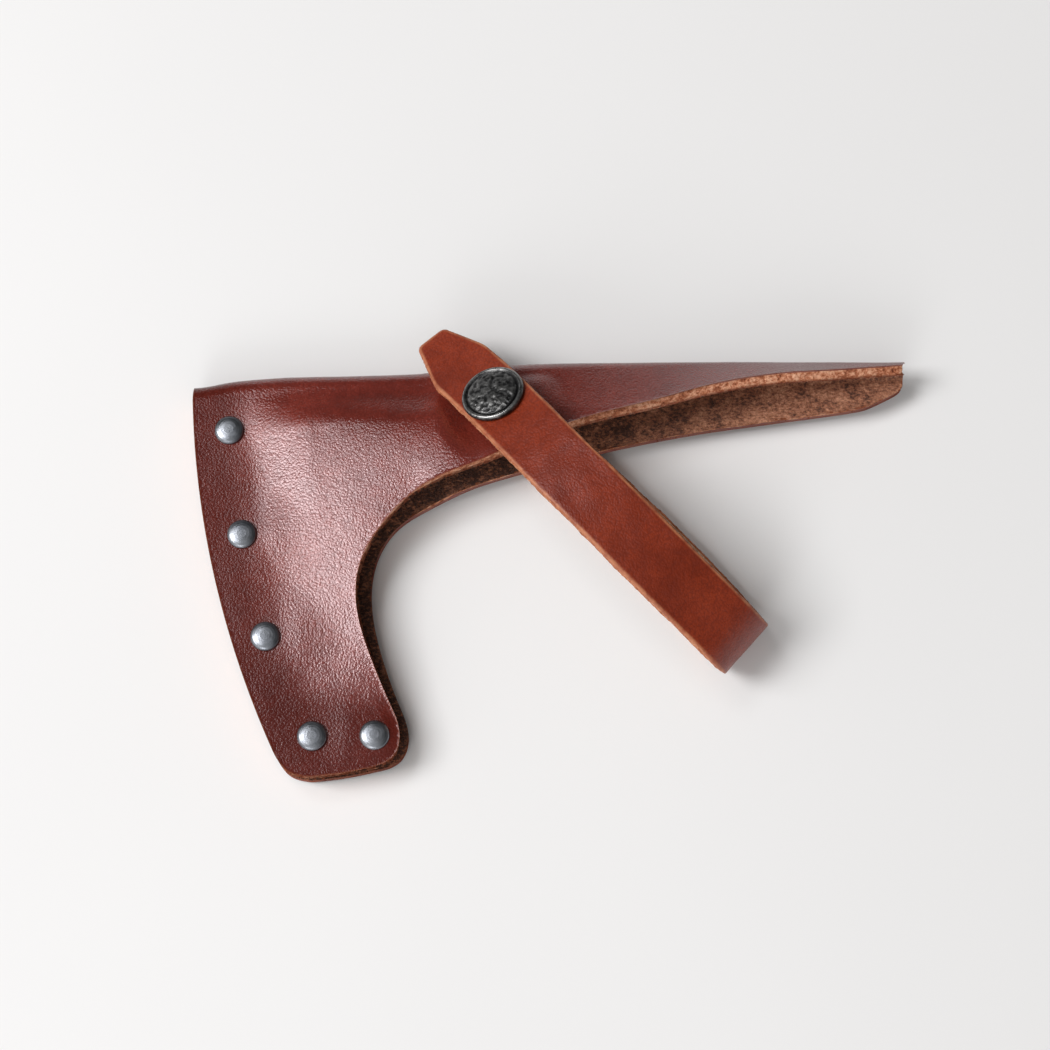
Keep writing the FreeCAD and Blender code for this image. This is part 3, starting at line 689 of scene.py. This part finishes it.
def cut_edge(name, dark, middle, light):
    """Raw cut edge: pale fibre core between darker, dyed outer layers."""
    s = Surface(name, Roughness=0.85, Specular_IOR_Level=0.25)
    fibres = s.noise(0.7, 5, 0.75)
    streaks = s.noise(2.0, 3, 0.6)
    tone = s.math("ADD", s.math("MULTIPLY", fibres, 0.55), s.math("MULTIPLY", streaks, 0.45))
    colour = s.ramp(tone, [(0.38, dark), (0.48, middle), (0.60, light)])
    depth = s.math("ABSOLUTE", s.attribute("layer"))
    outer = s.math("ADD", s.span(depth, 0.60, 1.0), s.span(streaks, 0.3, 0.7, -0.25, 0.25), clamp=True)
    colour = s.mix(s.math("MULTIPLY", outer, 0.75), colour, dark)
    return s.feed(Base_Color=colour, Normal=s.bump(tone, 0.7, 0.9))


def dark_metal(name, base, pale_tone, gloss, spots):
    """Blackened or gunmetal finish: cloudy oxide with brighter rubbed places."""
    s = Surface(name, Metallic=1.0)
    cloud = s.noise(spots, 5, 0.65)
    colour = s.ramp(cloud, [(0.35, base), (0.7, pale_tone)])
    rough = s.span(s.noise(spots * 0.4, 3), 0.3, 0.7, gloss - 0.06, gloss + 0.1)
    return s.feed(Base_Color=colour, Roughness=rough, Normal=s.bump(s.noise(0.3, 3, 0.6), 0.02))


def relief_metal(name, base, pale_tone, gloss):
    """Antiqued cast metal: dark in its hollows and rubbed bright on its raised places."""
    s = Surface(name, Metallic=1.0)
    high = s.attribute("raised")
    cloud = s.noise(1.4, 4, 0.65)
    bright = s.math("ADD", high, s.span(cloud, 0.3, 0.7, -0.3, 0.3), clamp=True)
    colour = s.ramp(bright, [(0.25, base), (0.95, pale_tone)])
    rough = s.math("ADD", s.span(high, 0, 1, gloss + 0.14, gloss - 0.05),
                   s.span(cloud, 0.3, 0.7, -0.05, 0.05))
    return s.feed(Base_Color=colour, Roughness=rough, Normal=s.bump(s.noise(0.35, 3, 0.6), 0.05))


def fibre_material():
    """Loose leather fibres."""
    s = Surface("loose_fibre", Roughness=0.8, Specular_IOR_Level=0.2)
    colour = s.ramp(s.noise(2.0, 2), [(0.35, (0.10, 0.035, 0.015)), (0.7, (0.36, 0.17, 0.08))])
    return s.feed(Base_Color=colour)


# ---- materials ----------------------------------------------------------------------------------------
# the last colour of each grain leather is the paler tone painted on its rims as a highlight
BODY = [
    grain_leather("body_grain", (0.100, 0.0125, 0.0075), (0.165, 0.0210, 0.0125), (0.230, 0.0320, 0.0185),
                  0.22, 0.52, (0.240, 0.070, 0.034)),
    suede("body_flesh", (0.080, 0.022, 0.008), (0.440, 0.160, 0.078), (0.800, 0.410, 0.250),
          # painted shade inside the pocket, towards the mouth
          0.08),
    cut_edge("body_cut", (0.130, 0.030, 0.013), (0.480, 0.165, 0.080), (0.900, 0.520, 0.340)),
]
# the last colour of each grain leather is the paler tone painted on its rims as a highlight
STRAP = [
    grain_leather("strap_grain", (0.140, 0.0150, 0.0040), (0.235, 0.0270, 0.0060), (0.310, 0.0400, 0.0100),
                  0.38, 0.28, (0.460, 0.170, 0.075)),
    suede("strap_flesh", (0.300, 0.140, 0.070), (0.480, 0.270, 0.160), (0.650, 0.430, 0.300)),
    cut_edge("strap_cut", (0.250, 0.070, 0.028), (0.450, 0.160, 0.075), (0.620, 0.300, 0.170)),
]
GUNMETAL = dark_metal("rivet_gunmetal", (0.200, 0.215, 0.245), (0.300, 0.315, 0.345), 0.34, 4.0)
BLACKENED = dark_metal("snap_blackened", (0.035, 0.034, 0.034), (0.110, 0.105, 0.100), 0.38, 1.2)
ANTIQUE = relief_metal("snap_antique", (0.042, 0.042, 0.043), (0.330, 0.328, 0.325), 0.32)
SPRING = dark_metal("snap_spring_wire", (0.350, 0.340, 0.330), (0.600, 0.590, 0.580), 0.25, 0.8)


# ---- the sheath ---------------------------------------------------------------------------------------
def rivet_swell(x, y):
    """How the front panel swells beside each rivet that holds it down."""
    bulge = 0.0
    for rx, ry in RIVETS:
        past_x = x - rx - SWELL_AWAY
        past_y = y - ry - SWELL_UP
        bulge = bulge + hill(past_x, np.where(past_x < 0, *SWELL_RUN)) * hill(past_y, SWELL_WIDTH)
    return SWELL * bulge


def body_relief(pattern, rim):
    """Height of the grain over the plain sheet: undulation, and the swelling round the rivets."""
    place = body_middle(pattern)
    x, y = place[:, 0], place[:, 1]
    front = smooth((pattern[:, 1] - FOLD_RUN) / 4)
    end_x, end_y = SWELL_END
    near_band = 1 - smooth((x - blade_x(y) - WELT_WIDTH) / end_x) * smooth((y - BOTTOM_BAND_Y) / end_y)
    waves = sum(height * ripple(x, y, size, seed) for height, size, seed in WAVES)
    calm = smooth(rim / CALM_RIM)
    stud = smooth((np.hypot(x - SNAP_BASE[0], y - SNAP_BASE[1]) - CALM_STUD[0]) / CALM_STUD[1])
    lying = smooth((pattern[:, 1] + CALM_FOLD[0]) / CALM_FOLD[1])
    return calm * stud * lying * (waves + front * near_band * rivet_swell(x, y))


def body_pressed_and_shade(pattern):
    """Where the panels are pressed together, over the welt, along the blade edge and the bottom; there the
    grain is dulled and darkened with painted shade.
    """
    x, y = body_middle(pattern)[:, :2].T
    free = smooth((x - blade_x(y) - PRESSED_SHADE_FROM) / PRESSED_SHADE_RUN)
    return 1 - free * smooth((y - BOTTOM_BAND_Y) / PRESSED_SHADE_RUN)


def make_body():
    """The folded leather: back panel, fold and front panel in one piece."""
    edge = respaced(body_outline(), EDGE_STEP)
    flat = SKIN_STEP * ROW_STEP
    rows = np.concatenate([np.arange(-100, -flat / 2, flat), np.arange(0, FOLD_RUN, ARC_STEP),
                           np.arange(FOLD_RUN, FOLD_RUN + 110, flat)])
    piece = leather_sheet("sheath_leather", edge, rows, body_place, LEATHER, BODY, body_relief, body_pressed_and_shade)
    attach(piece, "sheath")
    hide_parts("sheath_body")


def make_welt():
    """The strip between the panels along the blade edge and the bottom."""
    outer = blade_line(WELT_TOP_Y)
    mouth = spline_through(FRONT_MOUTH)[0]
    mouth = mouth[mouth[:, 1] < BOTTOM_BAND_Y]
    mouth = mouth[mouth[:, 0] < mouth[:, 0].max() + 0.1][:60]
    inner_y = np.linspace(BOTTOM_BAND_Y, WELT_TOP_Y, 120)
    inner = np.stack([blade_x(inner_y, WELT_WIDTH), inner_y], axis=1)
    edge = respaced(np.vstack([outer, mouth[1:], inner]), EDGE_STEP)

    def place(pattern, height):
        x, y = pattern.T
        return np.stack([x, y, section(x)[2] + LEATHER + height], axis=1)

    rows = np.arange(-60, 45, SKIN_STEP * 1.5)
    piece = leather_sheet("welt_leather", edge, rows, place, LEATHER - 2 * WELT_PLAY, BODY,
                          step=SKIN_STEP * 1.7)
    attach(piece, "sheath")
    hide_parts("edge_welt")


# ---- the strap ----------------------------------------------------------------------------------------
def rounded(corners, radius):
    """Closed outline through corners, each rounded off by its radius."""
    points = []
    count = len(corners)
    for i, (corner, r) in enumerate(zip(corners, radius)):
        here = np.array(corner, float)
        before = unit(np.array(corners[i - 1], float) - here)
        after = unit(np.array(corners[(i + 1) % count], float) - here)
        if r == 0:
            points.append(here[None])
            continue
        t = np.linspace(0, 1, 9)[:, None]
        start, end = here + before * r, here + after * r
        points.append(start * (1 - t) ** 2 + here * 2 * t * (1 - t) + end * t * t)
    return np.vstack(points)


SEAM = strap.at[BEND_START_AT] - SEAM_BEFORE_BEND


def strap_relief(pattern, rim):
    """Slight waviness of the strap's grain."""
    return smooth(rim / 2.0) * (0.05 * ripple(pattern[:, 0], pattern[:, 1], 8, 8)
                                + 0.04 * ripple(pattern[:, 0], 3 * pattern[:, 1], 24, 9))


def strap_edge(corners, radius):
    """Outline of a stretch of strap with its long sides at even steps and its seam corners kept."""
    raw = rounded(corners, radius)
    closed = np.vstack([raw, raw[:1]])
    points = []
    for a, b in zip(closed, closed[1:]):
        steps = max(1, int(round(np.linalg.norm(b - a) / EDGE_STEP)))
        points.append(a + (b - a) * (np.arange(steps) / steps)[:, None])
    return np.vstack(points)


def make_strap():
    """The strap: its tab and front on one piece, its bend and rear on the other."""
    half = STRAP_WIDTH / 2
    run, tip = TAB_CLIP
    rows = np.arange(-half - 1, half + 1, SKIN_STEP * ROW_STEP)
    corners = [(0, tip), (0, -tip), (run, -half), (SEAM, -half), (SEAM, half), (run, half)]
    edge = strap_edge(corners, [1.4, 1.4, 1.8, 0, 0, 1.8])
    front = leather_sheet("strap_front_leather", edge, rows, strap.place, STRAP_THICK, STRAP, strap_relief,
                          seam=SEAM)
    ahead = Vector(strap.frame(strap.at[TAB_END_AT] + PEEL_RUN)[0] * MM)
    behind = Vector(strap.frame(strap.at[TAB_END_AT] - PEEL_RUN)[0] * MM)
    behind.z = ahead.z
    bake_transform(front)
    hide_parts("strap_front", "strap_tab")

    end = strap.length
    edge = strap_edge([(SEAM, half), (SEAM, -half), (end, -half), (end, half)], [0, 0, 1.5, 1.5])
    rear = leather_sheet("strap_rear_leather", edge, rows, strap.place, STRAP_THICK, STRAP, strap_relief,
                         seam=SEAM)
    x, y, z = strap.frame(strap.at[BEND_START_AT])[0] * MM
    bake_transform(rear)
    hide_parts("strap_bend", "strap_rear")


# ---- the snap and the rivets --------------------------------------------------------------------------
def make_snap_cap():
    """Cast cap: a smooth raised rim round a crown with shallow hammered dimples."""
    radius = SNAP_CAP_D / 2
    seat = SNAP_STACK + STRAP_THICK + SEAT_GAP
    around = 168
    crown = radius - SNAP_RIM
    crown_z = seat + SNAP_RIM_H
    profile = [(0.0, seat), (radius - 0.6, seat), (radius - 0.15, seat + 0.2), (radius, seat + 0.5),
               (radius, seat + 0.95), (radius - 0.12, seat + 1.25), (radius - 0.35, seat + 1.45),
               (radius - 0.6, seat + 1.52), (radius - 0.85, seat + 1.48), (radius - 1.05, seat + 1.32),
               (radius - 1.25, crown_z)]
    for turn in np.radians(np.linspace(0, 90, 30)):
        profile.append((crown * math.cos(turn), crown_z + (SNAP_CAP_H - 1.3) * math.sin(turn)))
    profile = np.array(profile)
    r, z = profile[1:-1].T
    angle = np.linspace(0, 2 * math.pi, around, endpoint=False)
    x = r[:, None] * np.cos(angle)
    y = r[:, None] * np.sin(angle)
    dimples = dice.uniform(-crown, crown, (DIMPLES, 2))
    dimples = dimples[np.hypot(*dimples.T) < crown - 0.3]
    dent = np.zeros_like(x)
    for (dx, dy), size in zip(dimples, dice.uniform(*DIMPLE_SIZE, len(dimples))):
        dent = np.maximum(dent, smooth(1 - np.hypot(x - dx, y - dy) / size))
    on_crown = smooth((crown - r) / 0.5)[:, None]
    on_rim = hill(r - (radius - 0.5), 0.4)[:, None] * (z[:, None] > seat + 0.9)
    high = z[:, None] - DIMPLE_DEPTH * dent * on_crown
    raised = on_crown * (0.40 - 0.35 * dent) + 0.8 * on_rim + 0.15
    across = unit(np.cross(SNAP_AXIS, [0, 0, 1.0]))
    other = np.cross(SNAP_AXIS, across)
    points = x[..., None] * across + y[..., None] * other + high[..., None] * SNAP_AXIS
    points = (SNAP_BASE + points).reshape(-1, 3)
    ends = [SNAP_BASE + SNAP_AXIS * seat, SNAP_BASE + SNAP_AXIS * (profile[-1, 1] - 0.1)]
    size = len(points)
    faces = []
    for k in range(len(r) - 1):
        for i in range(around):
            j = (i + 1) % around
            faces.append([k * around + i, (k + 1) * around + i, (k + 1) * around + j, k * around + j])
    last = (len(r) - 1) * around
    for i in range(around):
        j = (i + 1) % around
        faces.append([i, j, size])
        faces.append([last + j, last + i, size + 1])
    attributes = {"raised": np.concatenate([np.clip(raised, 0, 1).reshape(-1), [0, 0.6]])}
    piece = add_mesh("snap_cap_relief", np.vstack([points, ends]), faces, [ANTIQUE], None, attributes)
    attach(piece, "strap_tab")
    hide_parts("snap_cap")


def finish_metal():
    """Materials of the CAD pieces that show as they are."""
    finishes = {"snap_socket": BLACKENED, "snap_stud": BLACKENED, "snap_post": BLACKENED,
                "snap_spring": SPRING}
    for name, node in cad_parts.items():
        finish = finishes.get(name)
        if "rivet" in name:
            finish = GUNMETAL
        if finish is None:
            continue
        for slot in node.material_slots:
            slot.link = "OBJECT"
            slot.material = finish


# ---- loose fibres -------------------------------------------------------------------------------------
def make_fibres():
    """Fine loose fibres that stand out of the raw cut edges."""
    edge = respaced(body_outline(), EDGE_STEP / 2)
    away = outward(edge)
    spots = body_middle(edge)
    mouth = (edge[:, 0] > -46) & (np.abs(edge[:, 1] - FOLD_RUN / 2) > FOLD_RUN / 2 + 3) & (edge[:, 0] < 84)
    candidates = np.flatnonzero(mouth)
    points = []
    faces = []
    sides = 4
    steps = 7
    for index in dice.choice(candidates, FIBRES, replace=False):
        height = dice.uniform(-1.2, 0.9)
        root = body_place(edge[index:index + 1] - away[index] * 0.3, np.array([height]))[0]
        tip = body_place(edge[index:index + 1] + away[index] * 1.0, np.array([height]))[0]
        heading = unit(tip - root + dice.normal(0, 0.6, 3))
        bend = dice.normal(0, 0.5, 3)
        length = 0.5 + 2.6 * dice.random() ** 5
        side = unit(np.cross(heading, [0.3, 0.2, 1.0]))
        for k in range(steps):
            t = k / (steps - 1)
            centre = root + heading * length * t + bend * length * 0.4 * t * t
            centre[2] = max(centre[2], 0.15)
            thick = FIBRE_THICK * (1 - 0.75 * t)
            for s in range(sides):
                turn = 2 * math.pi * s / sides
                spoke = math.cos(turn) * side + math.sin(turn) * np.cross(heading, side)
                points.append(centre + thick * spoke)
        base = len(points) - sides * steps
        for k in range(steps - 1):
            for s in range(sides):
                a, b = base + k * sides + s, base + k * sides + (s + 1) % sides
                faces.append([a, b, b + sides, a + sides])
        faces.append([base + s for s in reversed(range(sides))])
        faces.append([base + (steps - 1) * sides + s for s in range(sides)])
    piece = add_mesh("edge_fibres", points, faces, [fibre_material()])
    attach(piece, "sheath")


# ---- floor, light and camera --------------------------------------------------------------------------
def make_floor():
    """Plain pale floor."""
    mesh = bpy.data.meshes.new("floor")
    reach = 3.0
    corners = [(-reach, -reach, 0), (reach, -reach, 0), (reach, reach, 0), (-reach, reach, 0)]
    mesh.from_pydata(corners, [], [(0, 1, 2, 3)])
    s = Surface("floor_paper", Roughness=0.9, Specular_IOR_Level=0.1)
    s.feed(Base_Color=s.ramp(s.noise(180, 2), [(0.3, (0.83, 0.83, 0.835)), (0.7, (0.85, 0.85, 0.855))]))
    mesh.materials.append(s.material)
    floor = bpy.data.objects.new("floor", mesh)
    floor.location.z = -0.00003
    bpy.context.scene.collection.objects.link(floor)
    floor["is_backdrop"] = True


def make_light(name, azimuth, elevation, distance, size, power, colour=(1, 1, 1)):
    """Rectangular soft light aimed at the object from an azimuth counted from +X towards +Y."""
    data = bpy.data.lights.new(name, "AREA")
    data.shape = "RECTANGLE"
    data.size, data.size_y = size
    data.energy = power
    data.color = colour
    light = bpy.data.objects.new(name, data)
    a, e = math.radians(azimuth), math.radians(elevation)
    away = Vector((math.cos(a) * math.cos(e), math.sin(a) * math.cos(e), math.sin(e)))
    light.location = away * distance
    light.rotation_euler = away.to_track_quat("Z", "Y").to_euler()
    bpy.context.scene.collection.objects.link(light)


def make_studio():
    """Soft window light from the left in a room that is pale low down and dimmer overhead."""
    world = bpy.data.worlds.new("surroundings")
    world.use_nodes = True
    tree = world.node_tree
    background = tree.nodes["Background"]
    background.inputs["Color"].default_value = (1.0, 0.985, 0.96, 1)
    coords = tree.nodes.new("ShaderNodeTexCoord")
    facing = tree.nodes.new("ShaderNodeVectorMath")
    facing.operation = "DOT_PRODUCT"
    facing.inputs[1].default_value = WINDOW_SIDE
    glow = tree.nodes.new("ShaderNodeMapRange")
    glow.interpolation_type = "SMOOTHSTEP"
    for label, value in (("From Min", 0.1), ("From Max", 1.0), ("To Min", 0.07), ("To Max", 0.85)):
        glow.inputs[label].default_value = value
    split = tree.nodes.new("ShaderNodeSeparateXYZ")
    low = tree.nodes.new("ShaderNodeMapRange")
    low.interpolation_type = "SMOOTHSTEP"
    for label, value in (("From Min", 0.0), ("From Max", 0.22), ("To Min", 0.50), ("To Max", 0.0)):
        low.inputs[label].default_value = value
    total = tree.nodes.new("ShaderNodeMath")
    tree.links.new(coords.outputs["Generated"], facing.inputs[0])
    tree.links.new(coords.outputs["Generated"], split.inputs[0])
    tree.links.new(facing.outputs["Value"], glow.inputs["Value"])
    tree.links.new(split.outputs["Z"], low.inputs["Value"])
    tree.links.new(glow.outputs["Result"], total.inputs[0])
    tree.links.new(low.outputs["Result"], total.inputs[1])
    tree.links.new(total.outputs[0], background.inputs["Strength"])
    bpy.context.scene.world = world
    make_light("window", 180, 52, 1.6, (0.56, 0.84), 18.0, (1.0, 0.99, 0.985))
    make_light("window_top", 138, 60, 1.6, (0.36, 0.30), 2.2, (1.0, 0.99, 0.985))
    make_light("card", 250, 29, 1.2, (0.50, 0.40), 2.4)
    bpy.context.scene.view_settings.view_transform = "Standard"


def make_camera():
    """Camera above the front, tipped back from straight down."""
    tilt = math.radians(15)
    distance = 0.6
    target = Vector((-0.0056, 0.0084, 0))
    data = bpy.data.cameras.new("camera")
    data.lens = 85.03
    data.sensor_width = 36
    data.clip_start, data.clip_end = 0.01, 20
    camera = bpy.data.objects.new("camera", data)
    camera.location = target + Vector((0, -math.sin(tilt), math.cos(tilt))) * distance
    camera.rotation_euler = (tilt, 0, 0)
    bpy.context.scene.collection.objects.link(camera)
    bpy.context.scene.camera = camera


make_camera()
make_studio()
make_floor()
make_body()
make_welt()
make_strap()
make_snap_cap()
make_fibres()
finish_metal()

boxes = {"cad": cad_box, "visual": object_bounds()}
{name: [list(corner) for corner in box] for name, box in boxes.items()}
